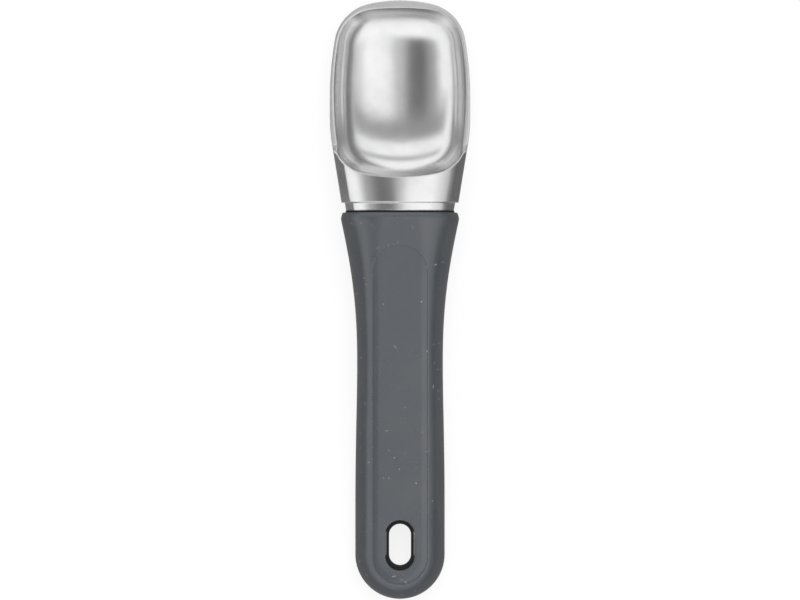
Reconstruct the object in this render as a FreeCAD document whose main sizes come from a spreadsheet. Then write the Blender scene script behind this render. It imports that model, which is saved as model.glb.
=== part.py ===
import FreeCAD, Part
import math
import os
import Sketcher
from FreeCAD import Vector

# Fixed-head ice cream scoop: an aluminium head on a two-layer plastic handle.
# It lies on its back. +Y runs to the bowl's tip, +Z out of the bowl's mouth, and X is across.

os.makedirs("parts", exist_ok=True)
doc = FreeCAD.newDocument("ice_cream_scoop")

# Driving dimensions in millimetres, degrees for angles
SIZES = (
    ("head_reach", 74.4, "handle's top face to the bowl's tip"),
    ("handle_length", 135.6, "handle's top face to its end"),
    ("head_tilt", 4.0, "rim plane drops towards the tip by this angle"),
    ("head_half_width", 24.565, "rim's widest half width"),
    ("widest_from_tip", 34.34, "tip back to the rim's widest point"),
    ("tip_radius", 47.97, "rim's blunt end"),
    ("tip_corner_radius", 15.6, "rim's corners beside the tip"),
    ("side_radius", 122.2, "rim's sides beyond the widest point"),
    ("side_straight", 6.66, "straight side behind the widest point"),
    ("flank_radius", 60.0, "side's turn into the neck"),
    ("flank_slope", 9.23, "angle of the neck's flank"),
    ("hull_depth", 18.5, "rim plane to the bowl's back"),
    ("hull_fullness", 2.2, "exponent of the bowl's outer section"),
    ("neck_rise", 10.0, "rim plane to the neck's front"),
    ("neck_facet_angle", 42.0, "slope of the facets along the neck's sides"),
    ("neck_facet_drop", 2.7, "fall of each side facet"),
    ("ramp_ahead", 23.8, "joint to where the rim starts to climb to the heel"),
    ("heel_ramp_angle", 43.0, "climb of the rim at the heel"),
    ("cavity_tilt", 7.0, "slant of the hollow's own top plane"),
    ("cavity_depth", 14.0, "hollow's top plane to its floor"),
    ("cavity_fullness", 2.2, "exponent of the hollow's section across"),
    ("cavity_end_fullness", 2.5, "exponent of the hollow's section along"),
    ("cavity_floor_roundness", 2.3, "exponent of the hollow's outline at its floor"),
    ("cavity_from_tip", 33.0, "tip back to the point that the hollow shrinks towards"),
    ("cavity_half_width", 23.25, "hollow's widest half width"),
    ("cavity_tip_gap", 2.6, "lip's width at the tip"),
    ("cavity_tip_radius", 100.0, "hollow's blunt end"),
    ("cavity_tip_corner", 13.4, "hollow's corners beside the tip"),
    ("cavity_side_radius", 120.0, "hollow's sides ahead of its widest point"),
    ("cavity_ahead", 11.4, "joint to the hollow's heel"),
    ("cavity_heel_radius", 52.0, "hollow's round heel"),
    ("cavity_heel_side_radius", 260.0, "hollow's sides behind its widest point"),
    ("cavity_heel_corner", 12.2, "hollow's corners beside the heel"),
    ("cavity_flare", 1.02, "hollow's growth where it breaks out above"),
    ("shoulder_ahead", 3.5, "joint to the end of the neck's full section"),
    ("collar_step", 1.15, "collar lies this far inside the neck"),
    ("collar_taper", 0.5, "collar narrows by this much towards the handle"),
    ("seal_thickness", 0.5, "black seal between collar and handle"),
    ("seal_overhang", 0.2, "seal stands this far out round the collar's end"),
    ("spigot_width", 24.0, "spigot across X"),
    ("spigot_height", 13.0, "spigot across Z"),
    ("spigot_depth", 12.0, "spigot's reach into the handle"),
    ("spigot_level", 16.5, "height of the spigot's and tang's middle"),
    ("fit_gap", 0.1, "clearance of spigot, tang and pins in their seats"),
    ("grip_top_round", 2.6, "length of the handle's rounded top edge"),
    ("grip_top_inset", 0.9, "how far the top edge rounds in"),
    ("flare_half_width", 20.62, "handle's widest half width, at its top"),
    ("flare_front", 31.0, "handle's front height at its top"),
    ("flare_back", 2.2, "handle's back height at its top"),
    ("flare_middle", 20.3, "height of the widest line at the top"),
    ("palm_below", 14.5, "joint down to the palm's section"),
    ("palm_half_width", 18.25, "half width there"),
    ("palm_front", 28.6, "front height there"),
    ("palm_back", 3.4, "back height there"),
    ("throat_below", 27.1, "joint down to the throat's section"),
    ("throat_half_width", 16.35, "half width there"),
    ("throat_front", 26.4, "front height there"),
    ("throat_back", 4.2, "back height there"),
    ("waist_below", 50.2, "joint down to the waist"),
    ("waist_half_width", 15.03, "half width at the waist"),
    ("waist_front", 24.0, "front height at the waist"),
    ("waist_back", 4.2, "back height at the waist"),
    ("lower_below", 78.6, "joint down to the section below the waist"),
    ("lower_half_width", 15.45, "half width there"),
    ("lower_front", 21.8, "front height there"),
    ("lower_back", 1.9, "back height there"),
    ("butt_from_end", 33.0, "end up to where the butt begins"),
    ("butt_half_width", 15.7, "half width of the butt and radius of the end"),
    ("butt_front", 20.3, "front height of the butt"),
    ("butt_back", -0.25, "back height of the butt before the resting flat"),
    ("end_front", 20.0, "front height at the end"),
    ("strip_half_width", 7.5, "flat strips along the handle's front and back"),
    ("flare_strip", 6.0, "strip's half width at the top"),
    ("grip_wall", 2.6, "grip's wall round the core"),
    ("front_wall", 3.2, "grip's wall at the front, pocket included"),
    ("mould_gap", 0.2, "clearance between grip and core"),
    ("pocket_half_width", 9.8, "thumb pocket's half width and end radius"),
    ("pocket_below", 11.2, "joint down to the thumb pocket's upper end"),
    ("pocket_from_end", 5.3, "end up to the thumb pocket's lower end"),
    ("pocket_depth", 0.7, "thumb pocket's depth"),
    ("slot_from_end", 19.1, "end up to the hang slot's middle"),
    ("slot_radius", 3.85, "hang slot's end radius"),
    ("slot_straight", 7.4, "hang slot's straight length"),
    ("liner_wall", 1.05, "wall of the slot's liner"),
    ("liner_sink", 0.35, "liner lies this far under the grip's faces"),
    ("liner_fit", 0.1, "clearance round the liner"),
    ("slot_edge_round", 0.6, "rounding of the grip's edge at the slot"),
    ("tang_width", 12.0, "tang bar across X"),
    ("tang_thickness", 5.0, "tang bar across Z"),
    ("tang_in_head", 9.0, "tang's seat in the spigot"),
    ("tang_length", 78.0, "tang bar's length"),
    ("pin_radius", 1.5, "cross pins"),
    ("pin_length", 9.6, "cross pins"),
    ("pin_drop", 2.6, "middle of the pins lies this far behind the tang's middle"),
    ("pin_upper_below", 23.0, "joint down to the upper pin"),
    ("pin_lower_below", 67.0, "joint down to the lower pin"),
)

sheet = doc.addObject("Spreadsheet::Sheet", "sizes")
for row, (alias, size, meaning) in enumerate(SIZES, start=1):
    sheet.set(f"A{row}", alias)
    sheet.set(f"B{row}", str(size))
    sheet.set(f"C{row}", meaning)
    sheet.setAlias(f"B{row}", alias)
doc.recompute()


class Size:
    """The sheet's values as attributes."""

    def __getattr__(self, alias):
        return float(sheet.get(alias))


size = Size()
X_AXIS = Vector(1, 0, 0)
Y_AXIS = Vector(0, 1, 0)
Z_AXIS = Vector(0, 0, 1)
HALF_TURN = 180.0
FAR = 60.0
JOINT = "(sizes.handle_length - sizes.head_reach) / 2"
END = "-(sizes.handle_length + sizes.head_reach) / 2"
tip_y = (size.handle_length + size.head_reach) / 2
end_y = -tip_y
joint_y = tip_y - size.head_reach
widest_y = tip_y - size.widest_from_tip


def feature(name, shape):
    """Puts a shape into the document as an object of its own."""
    made = doc.addObject("Part::Feature", name)
    made.Shape = shape
    made.Label = name
    return made


def boolean(kind, name, base, tool):
    """A cut or a fuse of two objects that stays in the document's tree."""
    made = doc.addObject(f"Part::{kind}", name)
    if kind == "MultiFuse":
        made.Shapes = [base] + list(tool)
        made.Refine = True
    else:
        made.Base = base
        made.Tool = tool
    made.Label = name
    doc.recompute()
    return made


# Outlines made of tangent arcs

def corner_centre(end_centre, end_gap, side_centre, side_gap):
    """Centre of the corner arc that lies inside both the end's and the side's circle."""
    apart = side_centre - end_centre
    reach = apart.Length
    along = (end_gap**2 - side_gap**2 + reach**2) / (2 * reach)
    aside = math.sqrt(end_gap**2 - along**2)
    unit = apart / reach
    normal = Vector(-unit.y, unit.x, 0)
    choices = [end_centre + unit * along + normal * (sign * aside) for sign in (-1, 1)]
    return max(choices, key=lambda point: point.x)


def on_circle(centre, towards, radius):
    """Point of a circle on the ray from its centre through another point."""
    return centre + (towards - centre).normalize() * radius


def arc_between(first, last, centre, radius):
    """The short arc between two points of a circle."""
    middle = on_circle(centre, (first + last) / 2, radius)
    return Part.Arc(first, middle, last).toShape()


def mirrored(edge):
    """An edge mirrored across the part's middle plane."""
    return edge.mirror(Vector(0, 0, 0), X_AXIS)


def end_edges(end, radius, corner, half_width, widest, side_radius):
    """Right half of one blunt end: side arc, corner arc and half of the end's arc."""
    sign = 1 if end > widest else -1
    end_centre = Vector(0, end - sign * radius, 0)
    side_centre = Vector(half_width - side_radius, widest, 0)
    middle = corner_centre_for(sign, end_centre, radius - corner, side_centre, side_radius - corner)
    side_end = on_circle(side_centre, middle, side_radius)
    corner_end = on_circle(end_centre, middle, radius)
    side = arc_between(Vector(half_width, widest, 0), side_end, side_centre, side_radius)
    turn = arc_between(side_end, corner_end, middle, corner)
    blunt = arc_between(corner_end, Vector(0, end, 0), end_centre, radius)
    return [side, turn, blunt]


def corner_centre_for(sign, end_centre, end_gap, side_centre, side_gap):
    """The corner centre of an upper end, or of a lower end by mirroring across X."""
    flip = lambda point: Vector(point.x, sign * point.y, 0)
    return flip(corner_centre(flip(end_centre), end_gap, flip(side_centre), side_gap))


def scaled(edge, centre_y, across, along, level):
    """An edge scaled about the middle line and lifted to its level."""
    matrix = FreeCAD.Matrix()
    matrix.move(Vector(0, -centre_y, 0))
    matrix.scale(across, along, 1)
    matrix.move(Vector(0, centre_y, level))
    return edge.transformGeometry(matrix)


def closed_wire(edges):
    """Edges in any order joined into one closed wire."""
    return Part.Wire(Part.__sortEdges__(edges))


def fullness(depth_share, exponent):
    """Share of the width that a round section keeps at a share of its depth."""
    return (1 - depth_share**exponent) ** (1 / exponent)


# Scoop head: hull, neck, collar, spigot and hollow

LEVELS = (0.0, 0.22, 0.42, 0.6, 0.75, 0.87, 0.95, 0.995)
MOUTH_SHARES = (1.0, 0.75, 0.5, 0.25, 0.1)
HOLLOW_LEVELS = (0.0, 0.1, 0.22, 0.42, 0.6, 0.75, 0.87, 0.95, 0.985, 0.998, 0.9998)
DIRECTIONS_ROUND = 72
HOLLOW_DIRECTIONS = [2 * math.pi * number / DIRECTIONS_ROUND for number in range(DIRECTIONS_ROUND)]


def tip_on_rim():
    """The tip's station along the slanted rim plane."""
    reach = (tip_y - widest_y) / math.cos(math.radians(size.head_tilt))
    return widest_y + reach


def tip_half():
    """Rim outline on the tip's side of its widest point, right half."""
    return end_edges(
        tip_on_rim(), size.tip_radius, size.tip_corner_radius,
        size.head_half_width, widest_y, size.side_radius,
    )


def flank_points():
    """Corners and arc centre of the flank from the widest point to the neck's end."""
    slope = math.radians(size.flank_slope)
    widest = Vector(size.head_half_width, widest_y, 0)
    turn_start = Vector(size.head_half_width, widest_y - size.side_straight, 0)
    centre = Vector(size.head_half_width - size.flank_radius, turn_start.y, 0)
    turn_end = centre + Vector(math.cos(slope), -math.sin(slope), 0) * size.flank_radius
    run = (turn_end.y - joint_y) / math.cos(slope)
    foot = turn_end - Vector(math.sin(slope), math.cos(slope), 0) * run
    return widest, turn_start, centre, turn_end, foot


def hull_wire(level):
    """One slice of the hull, parallel to the rim plane."""
    keep = fullness(level, size.hull_fullness)
    depth = -level * size.hull_depth
    widest, turn_start, centre, turn_end, foot = flank_points()
    tip = [scaled(edge, widest_y, keep, keep, depth) for edge in tip_half()]
    flank = [
        Part.makeLine(widest, turn_start),
        arc_between(turn_start, turn_end, centre, size.flank_radius),
        Part.makeLine(turn_end, foot),
    ]
    flank = [scaled(edge, widest_y, keep, 1, depth) for edge in flank]
    right = tip + flank
    close = Part.makeLine(
        Vector(foot.x * keep, foot.y, depth), Vector(-foot.x * keep, foot.y, depth)
    )
    return closed_wire(right + [mirrored(edge) for edge in right] + [close])


def neck_front():
    """The neck's convex front with a flat facet along each side, above the rim plane."""
    turn_end, foot = flank_points()[-2:]
    wires = []
    for end in (foot, turn_end):
        facet_width = size.neck_facet_drop / math.tan(math.radians(size.neck_facet_angle))
        crease = end.x - facet_width
        turn = math.acos(crease / end.x)
        level = size.neck_rise * math.sin(turn)
        arc = Part.Ellipse(Vector(0, 0, 0), end.x, size.neck_rise).toShape(turn, math.pi - turn)
        arc.Placement = FreeCAD.Placement(Vector(0, end.y, 0), FreeCAD.Rotation(X_AXIS, 90))
        corners = [
            Vector(crease, end.y, level), Vector(end.x, end.y, level - size.neck_facet_drop),
            Vector(end.x, end.y, 0),
        ]
        sides = [Part.makeLine(start, stop) for start, stop in zip(corners, corners[1:])]
        base = Part.makeLine(corners[-1], Vector(-end.x, end.y, 0))
        wires.append(closed_wire([arc, base] + sides + [mirrored(edge) for edge in sides]))
    return Part.makeLoft(wires, True, True)


def tilt(shape, angle):
    """Turns a head shape from its own rim plane into the part's frame."""
    rim_level = size.hull_depth / math.cos(math.radians(size.head_tilt))
    turned = shape.copy()
    turned.rotate(Vector(0, widest_y, 0), X_AXIS, -angle)
    turned.translate(Vector(0, 0, rim_level))
    return turned


def mouth_reaches():
    """Distance from the hollow's centre to its mouth's outline, for each direction."""
    widest = tip_y - size.cavity_from_tip
    right = end_edges(
        tip_on_rim() - size.cavity_tip_gap, size.cavity_tip_radius, size.cavity_tip_corner,
        size.cavity_half_width, widest, size.cavity_side_radius,
    )
    right += end_edges(
        joint_y + size.cavity_ahead, size.cavity_heel_radius, size.cavity_heel_corner,
        size.cavity_half_width, widest, size.cavity_heel_side_radius,
    )
    mouth = Part.Face(closed_wire(right + [mirrored(edge) for edge in right]))
    centre = Vector(0, widest, 0)
    reaches = []
    for direction in HOLLOW_DIRECTIONS:
        far_point = centre + Vector(math.cos(direction), math.sin(direction), 0) * FAR
        reaches.append(mouth.common(Part.makeLine(centre, far_point)).Length)
    return reaches


def hollow_wire(reaches, depth_share, across, along, level):
    """One slice of the hollow: the mouth's outline that turns into an oval with depth."""
    power = size.cavity_floor_roundness
    length = size.head_reach - size.cavity_from_tip - size.cavity_ahead
    points = []
    for direction, reach in zip(HOLLOW_DIRECTIONS, reaches):
        cosine = math.cos(direction)
        sine = math.sin(direction)
        spread = abs(cosine / size.cavity_half_width)**power + abs(sine / length)**power
        oval = spread**(-1 / power)
        mixed = reach + (oval - reach) * depth_share
        points.append(Vector(across * mixed * cosine, along * mixed * sine, level))
    curve = Part.BSplineCurve()
    curve.interpolate(points, PeriodicFlag=True)
    wire = Part.Wire(curve.toShape())
    wire.translate(Vector(0, tip_y - size.cavity_from_tip, 0))
    return wire


def hollow():
    """The bowl's inside, open above."""
    reaches = mouth_reaches()
    mouth = size.neck_rise + size.hull_depth / 4
    wires = []
    for share in MOUTH_SHARES:
        grow = 1 + (size.cavity_flare - 1) * share
        wires.append(hollow_wire(reaches, 0, grow, grow, mouth * share))
    for level in HOLLOW_LEVELS:
        left = 1 - level**size.cavity_fullness
        across = left**(1 / size.cavity_fullness)
        along = left**(1 / size.cavity_end_fullness)
        wires.append(hollow_wire(reaches, level, across, along, -level * size.cavity_depth))
    shape = Part.makeLoft(wires, True, False)
    extra = size.cavity_tilt - size.head_tilt
    shape.rotate(Vector(0, tip_on_rim() - size.cavity_tip_gap, 0), X_AXIS, -extra)
    return shape


def rim_cut():
    """All that lies above the rim from the tip to the heel's ramp."""
    start = Vector(-FAR, joint_y + size.ramp_ahead, 0)
    angle = math.radians(size.heel_ramp_angle)
    climb = start + Vector(0, -math.cos(angle), math.sin(angle)) * FAR
    corners = [start, climb, Vector(-FAR, tip_y + FAR, climb.z), Vector(-FAR, tip_y + FAR, 0)]
    face = Part.Face(Part.makePolygon(corners + [start]))
    return face.extrude(X_AXIS * (2 * FAR))


def below_floor():
    """All that lies under the plane that the scoop rests on."""
    return Part.makeBox(2 * FAR, 4 * FAR, FAR, Vector(-FAR, -2 * FAR, -FAR))


def behind(station):
    """All that lies on the handle's side of a station."""
    return Part.makeBox(2 * FAR, 2 * FAR, 2 * FAR, Vector(-FAR, station - 2 * FAR, -FAR))


def resized(wire, step, station):
    """A section's wire made smaller all round by a step and moved to a station."""
    box = wire.BoundBox
    matrix = FreeCAD.Matrix()
    matrix.move(-box.Center)
    matrix.scale(1 - 2 * step / box.XLength, 1, 1 - 2 * step / box.ZLength)
    matrix.move(Vector(box.Center.x, station, box.Center.z))
    return wire.transformGeometry(matrix)


def bar(name, across, up, start, reach, gap=None):
    """A square bar along the handle at the spigot's level, grown by a gap where it is a seat."""
    made = doc.addObject("Part::Box", name)
    made.Label = name
    grow = f" + 2 * sizes.{gap}" if gap else ""
    made.setExpression("Length", f"sizes.{across}{grow}")
    made.setExpression("Height", f"sizes.{up}{grow}")
    made.setExpression("Width", reach)
    made.setExpression("Placement.Base.x", f"-(sizes.{across}{grow}) / 2")
    made.setExpression("Placement.Base.y", start)
    made.setExpression("Placement.Base.z", f"sizes.spigot_level - (sizes.{up}{grow}) / 2")
    return made


slices = [hull_wire(level) for level in LEVELS]
hull = feature("hull", tilt(Part.makeLoft(slices, True, False), size.head_tilt))
front = feature("neck_front", tilt(neck_front(), size.head_tilt))
hollow_tool = feature("hollow", tilt(hollow(), size.head_tilt))
rim_tool = feature("rim_cut", tilt(rim_cut(), size.head_tilt))
floor_tool = feature("below_floor", below_floor())
shoulder_y = joint_y + size.shoulder_ahead
shoulder_tool = feature("behind_shoulder", behind(shoulder_y))

body = boolean("MultiFuse", "head_body", hull, [front])
body = boolean("Cut", "head_to_shoulder", body, shoulder_tool)
body = boolean("Cut", "head_on_floor", body, floor_tool)
shoulder_face = min(body.Shape.Faces, key=lambda face: face.CenterOfMass.y)
collar_end = joint_y + size.seal_thickness
collar_top = resized(shoulder_face.OuterWire, size.collar_step, shoulder_y)
collar_foot = resized(shoulder_face.OuterWire, size.collar_step + size.collar_taper, collar_end)
collar = feature("collar", Part.makeLoft([collar_top, collar_foot], True, True))
spigot_foot = f"{JOINT} - sizes.spigot_depth"
spigot = bar(
    "spigot", "spigot_width", "spigot_height", spigot_foot,
    "sizes.spigot_depth + sizes.seal_thickness",
)
body = boolean("MultiFuse", "head_with_spigot", body, [collar, spigot])
body = boolean("Cut", "head_with_rim", body, rim_tool)
body = boolean("Cut", "head_with_hollow", body, hollow_tool)
tang_seat = bar(
    "tang_seat", "tang_width", "tang_thickness", spigot_foot,
    "sizes.tang_in_head + sizes.fit_gap", "fit_gap",
)
scoop_head = boolean("Cut", "scoop_head", body, tang_seat)

# Black seal between the collar and the handle

seal_step = size.collar_step + size.collar_taper - size.seal_overhang
seal_wire = resized(shoulder_face.OuterWire, seal_step, joint_y)
seal_plate = feature("seal_plate", Part.Face(seal_wire).extrude(Y_AXIS * size.seal_thickness))
seat_reach = "sizes.spigot_depth * 2"
seal_hole = bar("seal_hole", "spigot_width", "spigot_height", spigot_foot, seat_reach, "fit_gap")
neck_seal = boolean("Cut", "neck_seal", seal_plate, seal_hole)

# Handle: sections across Y, shared by the grip, its inner wall and the core

class Station:
    """Outline sizes of the handle at one station along Y."""

    def __init__(self, station, half_width, front, back, strip, middle=None):
        self.y = station
        self.half_width = half_width
        self.front = front
        self.back = back
        self.strip = strip
        self.middle = (front + back) / 2 if middle is None else middle


END_CENTRE_Y = end_y + size.butt_half_width
FLARE_Y = joint_y - size.grip_top_round
STATIONS = (
    Station(FLARE_Y, size.flare_half_width, size.flare_front, size.flare_back,
            size.flare_strip, size.flare_middle),
    Station(joint_y - size.palm_below, size.palm_half_width, size.palm_front, size.palm_back,
            size.strip_half_width),
    Station(joint_y - size.throat_below, size.throat_half_width, size.throat_front, size.throat_back,
            size.strip_half_width),
    Station(joint_y - size.waist_below, size.waist_half_width, size.waist_front, size.waist_back,
            size.strip_half_width),
    Station(joint_y - size.lower_below, size.lower_half_width, size.lower_front, size.lower_back,
            size.strip_half_width),
    Station(end_y + size.butt_from_end, size.butt_half_width, size.butt_front, size.butt_back,
            size.strip_half_width),
    Station(END_CENTRE_Y, size.butt_half_width, size.end_front, size.butt_back, size.strip_half_width),
)


def quarter(strip, reach, rise, middle, station):
    """Quarter of an oval from the section's widest line to one of its flat strips."""
    start = Vector(strip + reach, station, middle)
    stop = Vector(strip, station, middle + rise)
    long_end, short_end = (stop, start) if abs(rise) > reach else (start, stop)
    oval = Part.Ellipse(long_end, short_end, Vector(strip, station, middle))
    first = oval.parameter(start)
    last = oval.parameter(stop)
    turn = 2 * math.pi
    if (last - first) % turn > math.pi:
        first, last = last, first
    return oval.toShape(first, first + (last - first) % turn)


def right_edges(place, inset, front_inset):
    """Right half of a section, from the front's middle to the back's middle."""
    front = place.front - front_inset
    back = place.back + inset
    reach = place.half_width - inset - place.strip
    return [
        Part.makeLine(Vector(0, place.y, front), Vector(place.strip, place.y, front)),
        quarter(place.strip, reach, front - place.middle, place.middle, place.y),
        quarter(place.strip, reach, back - place.middle, place.middle, place.y),
        Part.makeLine(Vector(place.strip, place.y, back), Vector(0, place.y, back)),
    ]


def section(place, inset=0.0, front_inset=0.0):
    """A whole section of the handle as one closed wire."""
    right = right_edges(place, inset, front_inset)
    return closed_wire(right + [mirrored(edge) for edge in right])


def at_station(place, station, inset=0.0):
    """The same outline moved along the handle and drawn in all round."""
    return Station(
        station, place.half_width - inset, place.front - inset, place.back + inset,
        place.strip, place.middle,
    )


def handle_end(inset=0.0, front_inset=0.0):
    """Round end of the handle: half a section turned about an upright axis."""
    last = STATIONS[-1]
    edges = right_edges(last, inset, front_inset)
    axis_top = Vector(0, last.y, last.front - front_inset)
    axis_foot = Vector(0, last.y, last.back + inset)
    face = Part.Face(closed_wire(edges + [Part.makeLine(axis_foot, axis_top)]))
    return face.revolve(Vector(0, last.y, 0), Z_AXIS, -HALF_TURN)


def handle_body(top_places, inset=0.0, front_inset=0.0):
    """The handle's solid from its top sections to its round end."""
    wires = [section(place, inset, front_inset) for place in STATIONS]
    shaft = Part.makeLoft(wires, True, False)
    tops = [section(place, inset, front_inset) for place in top_places]
    top = Part.makeLoft(tops, True, False)
    return shaft.fuse([top, handle_end(inset, front_inset)]).removeSplitter()


ROUND_SHARES = (0.0, 0.5, 0.8, 0.95, 1.0)
rounded_top = [
    at_station(
        STATIONS[0],
        FLARE_Y + share * size.grip_top_round,
        size.grip_top_inset * (1 - math.sqrt(1 - share**2)),
    )
    for share in ROUND_SHARES
]
straight_top = [at_station(STATIONS[0], station) for station in (FLARE_Y, joint_y)]
grip_body = feature("grip_body", handle_body(rounded_top))
inner_inset = size.grip_wall - size.mould_gap
inner_front = size.front_wall - size.mould_gap
grip_inside = feature("grip_inside", handle_body(straight_top, inner_inset, inner_front))
core_body = feature("core_body", handle_body(straight_top, size.grip_wall, size.front_wall))


def obround(name, radius, upper, lower, foot=-FAR):
    """An upright prism with round ends between two stations on the middle line."""
    corners = [Vector(radius, lower, foot), Vector(radius, upper, foot)]
    edges = [Part.makeLine(corners[0], corners[1])]
    edges.append(mirrored(edges[0]))
    for station, reach in ((upper, radius), (lower, -radius)):
        crown = Vector(0, station + reach, foot)
        sides = [Vector(sign * radius, station, foot) for sign in (1, -1)]
        edges.append(Part.Arc(sides[0], crown, sides[1]).toShape())
    return feature(name, Part.Face(closed_wire(edges)).extrude(Z_AXIS * (2 * FAR)))


slot_y = end_y + size.slot_from_end


def on_slot_wall(edge, radius):
    """Whether an edge runs along the wall of the hang slot."""
    half = size.slot_straight / 2
    for point in edge.discretize(5):
        along = max(0.0, abs(point.y - slot_y) - half)
        if abs(math.hypot(point.x, along) - radius) > 0.01:
            return False
    return True


def fillet(name, base, radius, chosen):
    """Rounds chosen edges of an object."""
    made = doc.addObject("Part::Fillet", name)
    made.Base = base
    made.Edges = [
        (number, radius, radius)
        for number, edge in enumerate(base.Shape.Edges, start=1)
        if chosen(edge)
    ]
    made.Label = name
    doc.recompute()
    return made


pocket_upper = joint_y - size.pocket_below - size.pocket_half_width
pocket_lower = end_y + size.pocket_from_end + size.pocket_half_width
pocket_shape = obround(
    "pocket_outline", size.pocket_half_width, pocket_upper, pocket_lower, size.spigot_level
)
pocket_floor = feature("pocket_floor", handle_body(rounded_top, 0, size.pocket_depth))
pocket = boolean("Cut", "pocket", pocket_shape, pocket_floor)

slot_upper = slot_y + size.slot_straight / 2
slot_lower = slot_y - size.slot_straight / 2
slot_hole_radius = size.slot_radius + size.liner_wall + size.liner_fit
slot_hole = obround("slot_hole", slot_hole_radius, slot_upper, slot_lower)

# Grip: the speckled outer layer

grip = boolean("Cut", "grip_hollowed", grip_body, grip_inside)
grip = boolean("Cut", "grip_on_floor", grip, floor_tool)
grip = boolean("Cut", "grip_with_pocket", grip, pocket)
grip = boolean("Cut", "grip_with_slot", grip, slot_hole)


def outer_slot_edge(edge):
    """Edges where the slot meets the grip's front or back."""
    level = edge.CenterOfMass.z
    outside = level > size.end_front - size.front_wall / 2 or level < size.grip_wall / 2
    flat = edge.BoundBox.ZLength < size.front_wall / 2
    return outside and flat and on_slot_wall(edge, slot_hole_radius)


grip_shell = fillet("grip_shell", grip, size.slot_edge_round, outer_slot_edge)

# Core: the black inner layer that holds the tang

socket = bar("socket", "spigot_width", "spigot_height", spigot_foot, seat_reach, "fit_gap")
tang_top = f"{spigot_foot} + sizes.tang_in_head"
tang_foot = f"{tang_top} - sizes.tang_length"
bore_foot = f"{tang_foot} - sizes.fit_gap"
bore = bar("tang_bore", "tang_width", "tang_thickness", bore_foot, "sizes.tang_length", "fit_gap")


def pin(name, station, gap=None):
    """A cross pin, or its hole where a gap is given."""
    made = doc.addObject("Part::Cylinder", name)
    made.Label = name
    grow = f" + sizes.{gap}" if gap else ""
    made.setExpression("Radius", f"sizes.pin_radius{grow}")
    made.setExpression("Height", f"sizes.pin_length{grow}")
    made.setExpression("Placement.Base.y", f"{JOINT} - sizes.{station}")
    middle = "sizes.spigot_level - sizes.pin_drop"
    made.setExpression("Placement.Base.z", f"{middle} - (sizes.pin_length{grow}) / 2")
    return made


PIN_STATIONS = ("pin_upper_below", "pin_lower_below")
pin_holes = [pin(f"hole_at_{station}", station, "fit_gap") for station in PIN_STATIONS]
core = core_body
for name, tool in (
    ("core_with_socket", socket), ("core_with_bore", bore), ("core_with_slot", slot_hole),
    ("core_with_upper_pin", pin_holes[0]), ("handle_core", pin_holes[1]),
):
    core = boolean("Cut", name, core, tool)
handle_core = core

tang_pins = doc.addObject("Part::Compound", "tang_pins")
tang_pins.Links = [pin(f"pin_at_{station}", station) for station in PIN_STATIONS]
tang_pins.Label = "tang_pins"


# Tang bar and slot liner: padded sketches

def plane(body, role):
    """One of a body's own origin planes."""
    return next(item for item in body.Origin.OriginFeatures if item.Role == role)


def sketch_on(body, name, role="XY_Plane"):
    """A sketch on a body's origin plane."""
    made = body.newObject("Sketcher::SketchObject", name)
    made.AttachmentSupport = [(plane(body, role), "")]
    made.MapMode = "FlatFace"
    return made


def bound(sketch, label, formula, *constraint):
    """A sketch constraint whose value follows the sheet."""
    number = sketch.addConstraint(Sketcher.Constraint(*constraint))
    sketch.renameConstraint(number, label)
    sketch.setExpression(f"Constraints.{label}", formula)


def draw_rectangle(sketch, width, foot, top):
    """A rectangle across the middle line between two stations."""
    corners = [Vector(-1, -1, 0), Vector(1, -1, 0), Vector(1, 1, 0), Vector(-1, 1, 0)]
    for start, stop in zip(corners, corners[1:] + corners[:1]):
        sketch.addGeometry(Part.LineSegment(start, stop), False)
    for line in range(4):
        sketch.addConstraint(Sketcher.Constraint("Coincident", line, 2, (line + 1) % 4, 1))
    sketch.addConstraint(Sketcher.Constraint("Vertical", 1))
    sketch.addConstraint(Sketcher.Constraint("Horizontal", 2))
    sketch.addConstraint(Sketcher.Constraint("Vertical", 3))
    sketch.addConstraint(Sketcher.Constraint("Symmetric", 0, 1, 0, 2, -2))
    bound(sketch, "width", width, "DistanceX", 0, 1, 0, 2, 2.0)
    bound(sketch, "foot", foot, "DistanceY", -1, 1, 0, 1, -1.0)
    bound(sketch, "top", top, "DistanceY", -1, 1, 2, 1, 1.0)


def draw_obround(sketch, label, radius):
    """An obround round the sketch's origin, its length along Y."""
    first = sketch.GeometryCount
    quarter_turn = math.pi / 2
    upper = Part.ArcOfCircle(Part.Circle(Vector(0, 2, 0), Z_AXIS, 1), 0, math.pi)
    lower = Part.ArcOfCircle(Part.Circle(Vector(0, -2, 0), Z_AXIS, 1), math.pi, 4 * quarter_turn)
    sketch.addGeometry([upper, Part.LineSegment(Vector(-1, 2, 0), Vector(-1, -2, 0)), lower,
                        Part.LineSegment(Vector(1, -2, 0), Vector(1, 2, 0))], False)
    for piece in range(4):
        after = first + (piece + 1) % 4
        sketch.addConstraint(Sketcher.Constraint("Tangent", first + piece, 2, after, 1))
    sketch.addConstraint(Sketcher.Constraint("Equal", first, first + 2))
    sketch.addConstraint(Sketcher.Constraint("Symmetric", first, 3, first + 2, 3, -1, 1))
    sketch.addConstraint(Sketcher.Constraint("PointOnObject", first, 3, -2))
    bound(sketch, f"{label}_radius", radius, "Radius", first, 1.0)
    bound(sketch, f"{label}_straight", "sizes.slot_straight", "DistanceY", first + 2, 3, first, 3, 4.0)


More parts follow.
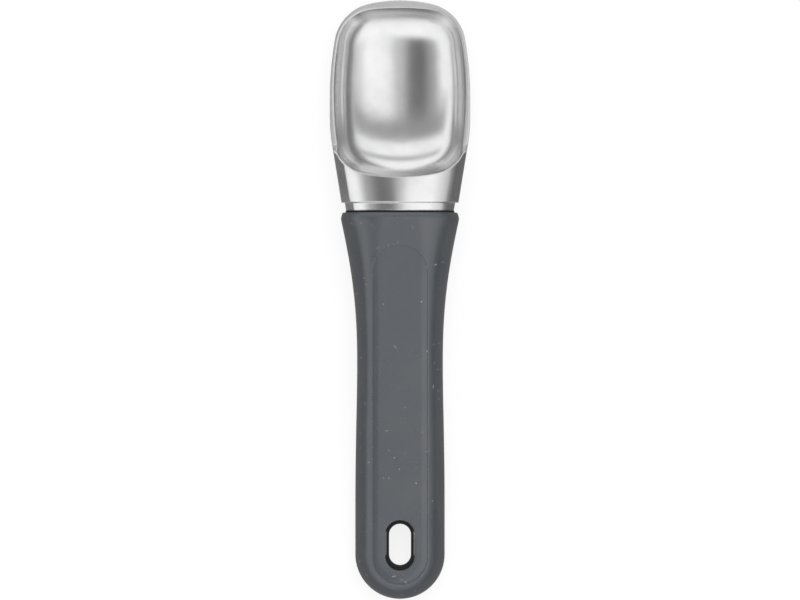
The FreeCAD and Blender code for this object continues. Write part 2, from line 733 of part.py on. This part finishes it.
tang_bar = doc.addObject("PartDesign::Body", "tang_bar")
tang_bar.Label = "tang_bar"
tang_outline = sketch_on(tang_bar, "tang_outline")
draw_rectangle(tang_outline, "sizes.tang_width", tang_foot, tang_top)
tang_pad = tang_bar.newObject("PartDesign::Pad", "tang_pad")
tang_pad.Profile = tang_outline
tang_pad.setExpression("Length", "sizes.tang_thickness")
tang_bar.setExpression("Placement.Base.z", "sizes.spigot_level - sizes.tang_thickness / 2")
doc.recompute()
plain_volume = tang_pad.Shape.Volume
tang_holes = sketch_on(tang_bar, "tang_holes")
for number, station in enumerate(PIN_STATIONS):
    tang_holes.addGeometry(Part.Circle(Vector(0, number * 10, 0), Z_AXIS, 1), False)
    tang_holes.addConstraint(Sketcher.Constraint("PointOnObject", number, 3, -2))
    bound(tang_holes, f"radius_{number}", "sizes.pin_radius + sizes.fit_gap", "Radius", number, 1.0)
    height = f"{JOINT} - sizes.{station}"
    bound(tang_holes, f"station_{number}", height, "DistanceY", -1, 1, number, 3, 1.0)
tang_pocket = tang_bar.newObject("PartDesign::Pocket", "tang_pocket")
tang_pocket.Profile = tang_holes
tang_pocket.Type = "ThroughAll"
tang_pocket.Reversed = True
doc.recompute()
if tang_pocket.Shape.Volume >= plain_volume:
    raise ValueError("the tang's pin holes cut nothing")

slot_liner = doc.addObject("PartDesign::Body", "slot_liner")
slot_liner.Label = "slot_liner"
liner_outline = sketch_on(slot_liner, "liner_outline")
draw_obround(liner_outline, "outer", "sizes.slot_radius + sizes.liner_wall")
draw_obround(liner_outline, "inner", "sizes.slot_radius")
liner_pad = slot_liner.newObject("PartDesign::Pad", "liner_pad")
liner_pad.Profile = liner_outline
liner_pad.setExpression("Length", "sizes.end_front - sizes.pocket_depth - 2 * sizes.liner_sink")
slot_liner.setExpression("Placement.Base.y", f"{END} + sizes.slot_from_end")
slot_liner.setExpression("Placement.Base.z", "sizes.liner_sink")
doc.recompute()

# Checks before anything is written

for made in doc.Objects:
    if {"Invalid", "Error"} & set(made.State):
        raise ValueError(f"{made.Label} did not build: {made.State}")

PIECES = (scoop_head, neck_seal, grip_shell, handle_core, tang_bar, tang_pins, slot_liner)
for piece in PIECES:
    if piece.Shape.isNull() or not piece.Shape.isValid():
        raise ValueError(f"{piece.Label} has no valid shape")
for piece in PIECES:
    box = piece.Shape.optimalBoundingBox()
    print(piece.Label, len(piece.Shape.Solids), round(piece.Shape.Volume), box)
    piece.Shape.exportStep(f"parts/{piece.Label}.step")
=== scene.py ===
import math

import bpy
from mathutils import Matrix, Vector

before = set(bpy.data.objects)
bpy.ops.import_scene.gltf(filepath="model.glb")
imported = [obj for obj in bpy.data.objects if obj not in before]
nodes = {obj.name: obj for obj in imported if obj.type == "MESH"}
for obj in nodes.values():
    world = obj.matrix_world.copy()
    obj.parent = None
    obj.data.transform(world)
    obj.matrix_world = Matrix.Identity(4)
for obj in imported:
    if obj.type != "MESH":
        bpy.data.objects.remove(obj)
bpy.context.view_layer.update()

# Looks of a fixed-head ice cream scoop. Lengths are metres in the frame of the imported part:
# +Y towards the bowl's tip, +Z out of the bowl's mouth, X across.

MM = 0.001

# Colours, linear
ALUMINIUM = (0.9, 0.9, 0.9, 1)
ALUMINIUM_DULL = (0.86, 0.86, 0.865, 1)
SLATE = (0.056, 0.063, 0.073, 1)
SLATE_WARM = (0.064, 0.070, 0.077, 1)
FLECK_LIGHT = (0.42, 0.43, 0.44, 1)
FLECK_DARK = (0.025, 0.027, 0.03, 1)
# Painted highlight: a lighter grey mixed into the plastic's colour at its edges
EDGE_PAINTED_HIGHLIGHT = (0.20, 0.215, 0.225, 1)
BLACK = (0.003, 0.003, 0.0032, 1)
BLACK_DUSTY = (0.007, 0.007, 0.0075, 1)
SEAL_BLACK = (0.006, 0.006, 0.0065, 1)
SEAL_DUSTY = (0.016, 0.016, 0.017, 1)
STEEL = (0.56, 0.57, 0.58, 1)
STEEL_DARK = (0.45, 0.46, 0.47, 1)
WHITE = (1, 1, 1, 1)
FLOOR_WHITE = (0.93, 0.93, 0.93, 1)
FLOOR_GREY = (0.12, 0.12, 0.12, 1)

# Specks in the plastic: cells in a metre, a speck's solid middle and faded rim as shares of
# its cell, the share of the cells that hold a speck, and how much of its colour it shows
DUST = {"scale": 1500.0, "middle": 0.10, "rim": 0.26, "keep": 0.10, "strength": 0.16}
DOTS = {"scale": 520.0, "middle": 0.08, "rim": 0.18, "keep": 0.10, "strength": 0.75}
DARK_SPECKS = {"scale": 640.0, "middle": 0.10, "rim": 0.22, "keep": 0.03, "strength": 0.15}
FIBRES = {"scale": 560.0, "middle": 0.05, "rim": 0.14, "keep": 0.13, "strength": 0.65}
FIBRE_STRETCH = (1.0, 0.22, 0.5)
FIBRE_SLANTS = (15, 75, 140)
FAINTEST_SPECK = 0.3

# Edges: how wide the mirror of each finish rounds them, and how strongly a painted highlight
# lightens the colour on the plastic's own edges
HEAD_EDGE = 0.8 * MM
GRIP_EDGE = 0.6 * MM
BLACK_EDGE = 0.2 * MM
EDGE_PAINTED_HIGHLIGHT_STRENGTH = 0.3

# Studio: brightness of the room by the angle in degrees from overhead
ACROSS_LEVELS = (
    (-90, 0.10), (-80, 0.13), (-72, 0.95), (-52, 1.0), (-33, 0.36), (-19, 0.14), (-8, 0.17),
    (0, 0.55), (9, 0.98), (34, 1.05), (44, 0.8), (58, 0.62), (68, 0.2), (90, 0.10),
)
ALONG_LEVELS = (
    (-90, 0.2), (-78, 0.9), (-40, 1.05), (-28, 0.95), (20, 0.4), (25, 0.3), (36, 0.3), (42, 1.0),
    (56, 1.0), (60, 0.4), (64, 0.4), (69, 1.0), (86, 1.0), (90, 0.5),
)

# Where the panels at the ends take over from those at the sides, in degrees
TIP_PANELS = (18, 26)
HANDLE_PANELS = (-26, -36)
END_PANELS_WIDTH = (66, 52)

# Floor: how far it glows by itself, and how much of that the scoop mirrors
FLOOR_HALF = 1.5
FLOOR_GLOW = 0.84
FLOOR_MIRRORED = 0.12

# Lamps: name, place, width and height, watts. They point at the frame's origin.
LAMPS = (
    ("key_lamp", (0.05, 0.22, 1.0), (0.5, 0.6), 5.6),
    ("fill_lamp", (-0.1, -0.25, 1.0), (0.4, 0.6), 1.2),
)

# Framing: the photograph's 800 by 600 frame holds the scoop from edge to edge
FRAME_WIDTH = 0.2805
CAMERA_DISTANCE = 2.4
CAMERA_CLIP_END = 20.0
SENSOR = 36.0
RIM_LEVEL = 0.015


class Maker:
    """Adds linked nodes to one node tree."""

    def __init__(self, tree):
        self.tree = tree

    def node(self, kind, **settings):
        """A new node with its settings."""
        made = self.tree.nodes.new(kind)
        for name, value in settings.items():
            setattr(made, name, value)
        return made

    def feed(self, socket, value):
        """Links a socket, or sets it where the value is plain."""
        if isinstance(value, bpy.types.NodeSocket):
            self.tree.links.new(value, socket)
        else:
            socket.default_value = value

    def calculate(self, operation, first, second=0.0, clamp=False):
        """The sum, product or other result of two values."""
        made = self.node("ShaderNodeMath", operation=operation, use_clamp=clamp)
        self.feed(made.inputs[0], first)
        self.feed(made.inputs[1], second)
        return made.outputs[0]

    def smooth(self, value, low, high, start=0.0, stop=1.0):
        """Soft step of a value between two limits."""
        made = self.node("ShaderNodeMapRange", interpolation_type="SMOOTHSTEP")
        for index, item in enumerate((value, low, high, start, stop)):
            self.feed(made.inputs[index], item)
        return made.outputs[0]

    def noise(self, coordinates, scale, detail=2.0, roughness=0.5):
        """Soft random patches."""
        made = self.node("ShaderNodeTexNoise")
        self.feed(made.inputs["Vector"], coordinates)
        made.inputs["Scale"].default_value = scale
        made.inputs["Detail"].default_value = detail
        made.inputs["Roughness"].default_value = roughness
        return made.outputs["Fac"]

    def stretched(self, coordinates, factors):
        """Coordinates scaled by a factor for each direction."""
        made = self.node("ShaderNodeMapping")
        self.feed(made.inputs["Vector"], coordinates)
        made.inputs["Scale"].default_value = factors
        return made.outputs["Vector"]

    def mix(self, factor, first, second):
        """A colour between two colours."""
        made = self.node("ShaderNodeMix", data_type="RGBA")
        self.feed(made.inputs[0], factor)
        self.feed(made.inputs[6], first)
        self.feed(made.inputs[7], second)
        return made.outputs[2]

    def bump(self, height, distance, strength=1.0, normal=None):
        """A fine relief on the surface."""
        made = self.node("ShaderNodeBump")
        made.inputs["Strength"].default_value = strength
        made.inputs["Distance"].default_value = distance
        self.feed(made.inputs["Height"], height)
        if normal is not None:
            self.feed(made.inputs["Normal"], normal)
        return made.outputs["Normal"]

    def soft_edges(self, radius):
        """The surface's direction with its edges rounded."""
        made = self.node("ShaderNodeBevel", samples=6)
        made.inputs["Radius"].default_value = radius
        return made.outputs["Normal"]


def finish_named(name, base, metallic, roughness):
    """A new finish with its maker, its surface shader and its object coordinates."""
    material = bpy.data.materials.new(name)
    material.use_nodes = True
    maker = Maker(material.node_tree)
    surface = material.node_tree.nodes["Principled BSDF"]
    surface.inputs["Base Color"].default_value = base
    surface.inputs["Metallic"].default_value = metallic
    surface.inputs["Roughness"].default_value = roughness
    place = maker.node("ShaderNodeTexCoord").outputs["Object"]
    return material, maker, surface, place


def polished_aluminium():
    """Cast aluminium, polished: faint waves, a fine grain and a few hairlines."""
    material, maker, surface, place = finish_named("polished_aluminium", ALUMINIUM, 1.0, 0.2)
    waves = maker.noise(place, scale=30.0, detail=1.0)
    grain = maker.noise(maker.stretched(place, (1.0, 14.0, 1.0)), scale=700.0, detail=3.0)
    scratched = maker.stretched(place, (50.0, 3.0, 50.0))
    hairs = maker.noise(scratched, scale=60.0, detail=5.0, roughness=0.7)
    hairlines = maker.smooth(hairs, low=0.62, high=0.70)
    haze = maker.noise(place, scale=110.0, detail=4.0, roughness=0.6)
    rough = maker.smooth(haze, low=0.3, high=0.75, start=0.17, stop=0.23)
    rough = maker.calculate("ADD", rough, maker.calculate("MULTIPLY", hairlines, 0.03))
    maker.feed(surface.inputs["Roughness"], rough)
    tint = maker.mix(maker.smooth(haze, low=0.35, high=0.7), ALUMINIUM, ALUMINIUM_DULL)
    maker.feed(surface.inputs["Base Color"], tint)
    soft = maker.soft_edges(HEAD_EDGE)
    wavy = maker.bump(waves, distance=0.05 * MM, strength=0.25, normal=soft)
    normal = maker.bump(grain, distance=0.002 * MM, strength=0.15, normal=wavy)
    maker.feed(surface.inputs["Normal"], normal)
    return material


def with_flecks(maker, base, colour, place, scale, middle, rim, keep, strength):
    """Sparse specks in a colour: cells whose random number passes, near their middle only."""
    cells = maker.node("ShaderNodeTexVoronoi", feature="F1")
    maker.feed(cells.inputs["Vector"], place)
    cells.inputs["Scale"].default_value = scale
    spot = maker.smooth(cells.outputs["Distance"], low=rim, high=middle)
    split = maker.node("ShaderNodeSeparateColor")
    maker.feed(split.inputs[0], cells.outputs["Color"])
    chosen = maker.calculate("LESS_THAN", split.outputs[0], keep)
    weight = maker.smooth(split.outputs[1], low=0.0, high=1.0, start=FAINTEST_SPECK, stop=1.0)
    share = maker.calculate("MULTIPLY", maker.calculate("MULTIPLY", spot, chosen), weight)
    return maker.mix(maker.calculate("MULTIPLY", share, strength), base, colour)


def shaken(maker, place, scale, reach):
    """Coordinates pushed about by fine noise, which breaks round shapes up."""
    wobble = maker.node("ShaderNodeTexNoise")
    maker.feed(wobble.inputs["Vector"], place)
    wobble.inputs["Scale"].default_value = scale
    shifted = maker.node("ShaderNodeVectorMath", operation="MULTIPLY_ADD")
    maker.feed(shifted.inputs[0], wobble.outputs["Color"])
    shifted.inputs[1].default_value = (reach, reach, reach)
    maker.feed(shifted.inputs[2], place)
    return shifted.outputs[0]


def slanted(maker, place, slant):
    """Coordinates turned in the front's plane and drawn out, for fibres that lie one way."""
    turned = maker.node("ShaderNodeMapping")
    maker.feed(turned.inputs["Vector"], place)
    turned.inputs["Rotation"].default_value = (0.0, 0.0, math.radians(slant))
    turned.inputs["Location"].default_value = (slant * MM, 0.0, 0.0)
    return maker.stretched(turned.outputs["Vector"], FIBRE_STRETCH)


def edge_share(maker, soft_normal):
    """How far the softened normal leans from the true one: one at sharp edges."""
    true_normal = maker.node("ShaderNodeNewGeometry").outputs["Normal"]
    product = maker.node("ShaderNodeVectorMath", operation="DOT_PRODUCT")
    maker.feed(product.inputs[0], soft_normal)
    maker.feed(product.inputs[1], true_normal)
    return maker.smooth(product.outputs["Value"], low=0.995, high=0.88)


def speckled_plastic():
    """Satin slate plastic with light fibres, dust and dark specks moulded in."""
    material, maker, surface, place = finish_named("speckled_grey_plastic", SLATE, 0.0, 0.32)
    surface.inputs["Specular IOR Level"].default_value = 1.0
    broken = shaken(maker, place, scale=2600.0, reach=0.5 * MM)
    cloud = maker.noise(place, scale=55.0, detail=4.0, roughness=0.6)
    base = maker.mix(maker.smooth(cloud, low=0.35, high=0.68), SLATE, SLATE_WARM)
    base = with_flecks(maker, base, FLECK_LIGHT, broken, **DUST)
    base = with_flecks(maker, base, FLECK_DARK, place, **DARK_SPECKS)
    base = with_flecks(maker, base, FLECK_LIGHT, broken, **DOTS)
    for slant in FIBRE_SLANTS:
        base = with_flecks(maker, base, FLECK_LIGHT, slanted(maker, place, slant), **FIBRES)
    soft = maker.soft_edges(GRIP_EDGE)
    # Painted highlight: the colour turns lighter grey where the bevel rounds an edge
    painted_highlight = maker.calculate("MULTIPLY", edge_share(maker, soft), EDGE_PAINTED_HIGHLIGHT_STRENGTH)
    maker.feed(surface.inputs["Base Color"], maker.mix(painted_highlight, base, EDGE_PAINTED_HIGHLIGHT))
    rub = maker.noise(place, scale=90.0, detail=5.0, roughness=0.65)
    rough = maker.smooth(rub, low=0.3, high=0.7, start=0.26, stop=0.34)
    maker.feed(surface.inputs["Roughness"], rough)
    grain = maker.noise(place, scale=4200.0)
    normal = maker.bump(grain, distance=0.008 * MM, strength=0.3, normal=soft)
    maker.feed(surface.inputs["Normal"], normal)
    return material


def black_plastic():
    """Satin black plastic with a fine moulded grain."""
    material, maker, surface, place = finish_named("black_plastic", BLACK, 0.0, 0.5)
    surface.inputs["Specular IOR Level"].default_value = 0.3
    cloud = maker.noise(place, scale=300.0, detail=3.0)
    maker.feed(surface.inputs["Base Color"], maker.mix(cloud, BLACK, BLACK_DUSTY))
    rough = maker.smooth(cloud, low=0.3, high=0.7, start=0.42, stop=0.55)
    maker.feed(surface.inputs["Roughness"], rough)
    grain = maker.noise(place, scale=5000.0)
    soft = maker.soft_edges(BLACK_EDGE)
    normal = maker.bump(grain, distance=0.008 * MM, strength=0.4, normal=soft)
    maker.feed(surface.inputs["Normal"], normal)
    return material


def seal_rubber():
    """Matte black rubber."""
    material, maker, surface, place = finish_named("black_rubber", SEAL_BLACK, 0.0, 0.8)
    dust = maker.noise(place, scale=900.0, detail=4.0)
    maker.feed(surface.inputs["Base Color"], maker.mix(dust, SEAL_BLACK, SEAL_DUSTY))
    rough = maker.smooth(dust, low=0.3, high=0.7, start=0.7, stop=0.9)
    maker.feed(surface.inputs["Roughness"], rough)
    maker.feed(surface.inputs["Normal"], maker.bump(dust, distance=0.01 * MM, strength=0.5))
    return material


def tang_steel():
    """Drawn steel with lines along the bar."""
    material, maker, surface, place = finish_named("tang_steel", STEEL, 1.0, 0.35)
    lines = maker.noise(maker.stretched(place, (1.0, 0.03, 1.0)), scale=2500.0, detail=4.0)
    rough = maker.smooth(lines, low=0.3, high=0.7, start=0.28, stop=0.45)
    maker.feed(surface.inputs["Roughness"], rough)
    maker.feed(surface.inputs["Base Color"], maker.mix(lines, STEEL, STEEL_DARK))
    maker.feed(surface.inputs["Normal"], maker.bump(lines, distance=0.01 * MM, strength=0.4))
    return material


def dress(node, material):
    """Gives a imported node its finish."""
    mesh = nodes[node].data
    mesh.materials.clear()
    mesh.materials.append(material)


def make_camera():
    """Looks straight down on the scoop's front with the bowl's tip at the top."""
    data = bpy.data.cameras.new("camera")
    data.sensor_fit = "HORIZONTAL"
    data.sensor_width = SENSOR
    data.lens = SENSOR * CAMERA_DISTANCE / FRAME_WIDTH
    data.clip_end = CAMERA_CLIP_END
    camera = bpy.data.objects.new("camera", data)
    camera.location = (0.0, 0.0, CAMERA_DISTANCE + RIM_LEVEL)
    bpy.context.scene.collection.objects.link(camera)
    bpy.context.scene.camera = camera


def floor_finish():
    """Matte floor that glows white for the camera and looks grey to the scoop."""
    material = bpy.data.materials.new("pale_floor")
    material.use_nodes = True
    maker = Maker(material.node_tree)
    surface = material.node_tree.nodes["Principled BSDF"]
    surface.inputs["Roughness"].default_value = 1.0
    surface.inputs["Specular IOR Level"].default_value = 0.0
    glow = maker.node("ShaderNodeEmission")
    glow.inputs["Color"].default_value = WHITE
    rays = maker.node("ShaderNodeLightPath")
    mirrored = maker.calculate("MULTIPLY", rays.outputs["Is Glossy Ray"], FLOOR_MIRRORED)
    seen = maker.calculate("ADD", rays.outputs["Is Camera Ray"], mirrored, clamp=True)
    seen = maker.calculate("ADD", seen, rays.outputs["Is Transmission Ray"], clamp=True)
    maker.feed(surface.inputs["Base Color"], maker.mix(seen, FLOOR_GREY, FLOOR_WHITE))
    blend = maker.node("ShaderNodeMixShader")
    maker.feed(blend.inputs[0], maker.calculate("MULTIPLY", seen, FLOOR_GLOW))
    maker.feed(blend.inputs[1], surface.outputs[0])
    maker.feed(blend.inputs[2], glow.outputs[0])
    output = material.node_tree.nodes["Material Output"]
    maker.feed(output.inputs["Surface"], blend.outputs[0])
    return material


def make_floor():
    """A pale floor that shows white and keeps the scoop's shadow."""
    half = FLOOR_HALF
    mesh = bpy.data.meshes.new("floor")
    corners = [(-half, -half, 0), (half, -half, 0), (half, half, 0), (-half, half, 0)]
    mesh.from_pydata(corners, [], [(0, 1, 2, 3)])
    floor = bpy.data.objects.new("floor", mesh)
    bpy.context.scene.collection.objects.link(floor)
    mesh.materials.append(floor_finish())


def levels_by_angle(maker, angle, stops):
    """Brightness that follows an angle through a list of stops in degrees."""
    share = maker.node("ShaderNodeMapRange")
    maker.feed(share.inputs[0], angle)
    share.inputs[1].default_value = -math.pi / 2
    share.inputs[2].default_value = math.pi / 2
    ramp = maker.node("ShaderNodeValToRGB")
    maker.feed(ramp.inputs[0], share.outputs[0])
    ramp.color_ramp.interpolation = "EASE"
    elements = ramp.color_ramp.elements
    elements.remove(elements[0])
    for number, (degrees, level) in enumerate(stops):
        spot = (degrees + 90) / 180
        element = elements[0] if number == 0 else elements.new(spot)
        element.position = spot
        element.color = (level, level, level, 1)
    return ramp.outputs["Color"]


def past_angle(maker, angle, limits):
    """Soft step of an angle between two limits in degrees."""
    low, high = limits
    return maker.smooth(angle, math.radians(low), math.radians(high))


def make_studio():
    """The room: pale panels overhead and at the ends with darker gaps between them."""
    world = bpy.data.worlds.new("studio")
    bpy.context.scene.world = world
    world.use_nodes = True
    maker = Maker(world.node_tree)
    backing = world.node_tree.nodes["Background"]
    direction = maker.node("ShaderNodeTexCoord").outputs["Generated"]
    split = maker.node("ShaderNodeSeparateXYZ")
    maker.feed(split.inputs[0], direction)
    across, along, up = split.outputs
    lean = maker.calculate("ARCTAN2", across, up)
    pitch = maker.calculate("ARCTAN2", along, up)
    sides = levels_by_angle(maker, lean, ACROSS_LEVELS)
    ends = levels_by_angle(maker, pitch, ALONG_LEVELS)
    towards_tip = past_angle(maker, pitch, TIP_PANELS)
    towards_handle = past_angle(maker, pitch, HANDLE_PANELS)
    overhead = past_angle(maker, maker.calculate("ABSOLUTE", lean), END_PANELS_WIDTH)
    towards_ends = maker.calculate("ADD", towards_tip, towards_handle)
    room = maker.mix(maker.calculate("MULTIPLY", towards_ends, overhead), sides, ends)
    rays = maker.node("ShaderNodeLightPath").outputs["Is Camera Ray"]
    maker.feed(backing.inputs["Color"], maker.mix(rays, room, WHITE))
    backing.inputs["Strength"].default_value = 1.0


def make_lamp(name, place, size, power):
    """A soft rectangular lamp that the metal doesn't mirror."""
    data = bpy.data.lights.new(name, "AREA")
    data.shape = "RECTANGLE"
    data.size, data.size_y = size
    data.energy = power
    lamp = bpy.data.objects.new(name, data)
    lamp.location = place
    lamp.rotation_euler = (-Vector(place)).to_track_quat("-Z", "Y").to_euler()
    lamp.visible_glossy = False
    bpy.context.scene.collection.objects.link(lamp)


FINISHES = {
    "scoop_head": polished_aluminium,
    "grip_shell": speckled_plastic,
    "handle_core": black_plastic,
    "slot_liner": black_plastic,
    "neck_seal": seal_rubber,
    "tang_bar": tang_steel,
    "tang_pins": tang_steel,
}
made_finishes = {}
for node, make in FINISHES.items():
    if make not in made_finishes:
        made_finishes[make] = make()
    dress(node, made_finishes[make])

make_camera()
make_floor()
make_studio()
for name, place, size, power in LAMPS:
    make_lamp(name, place, size, power)

bpy.context.scene.view_settings.view_transform = "Standard"
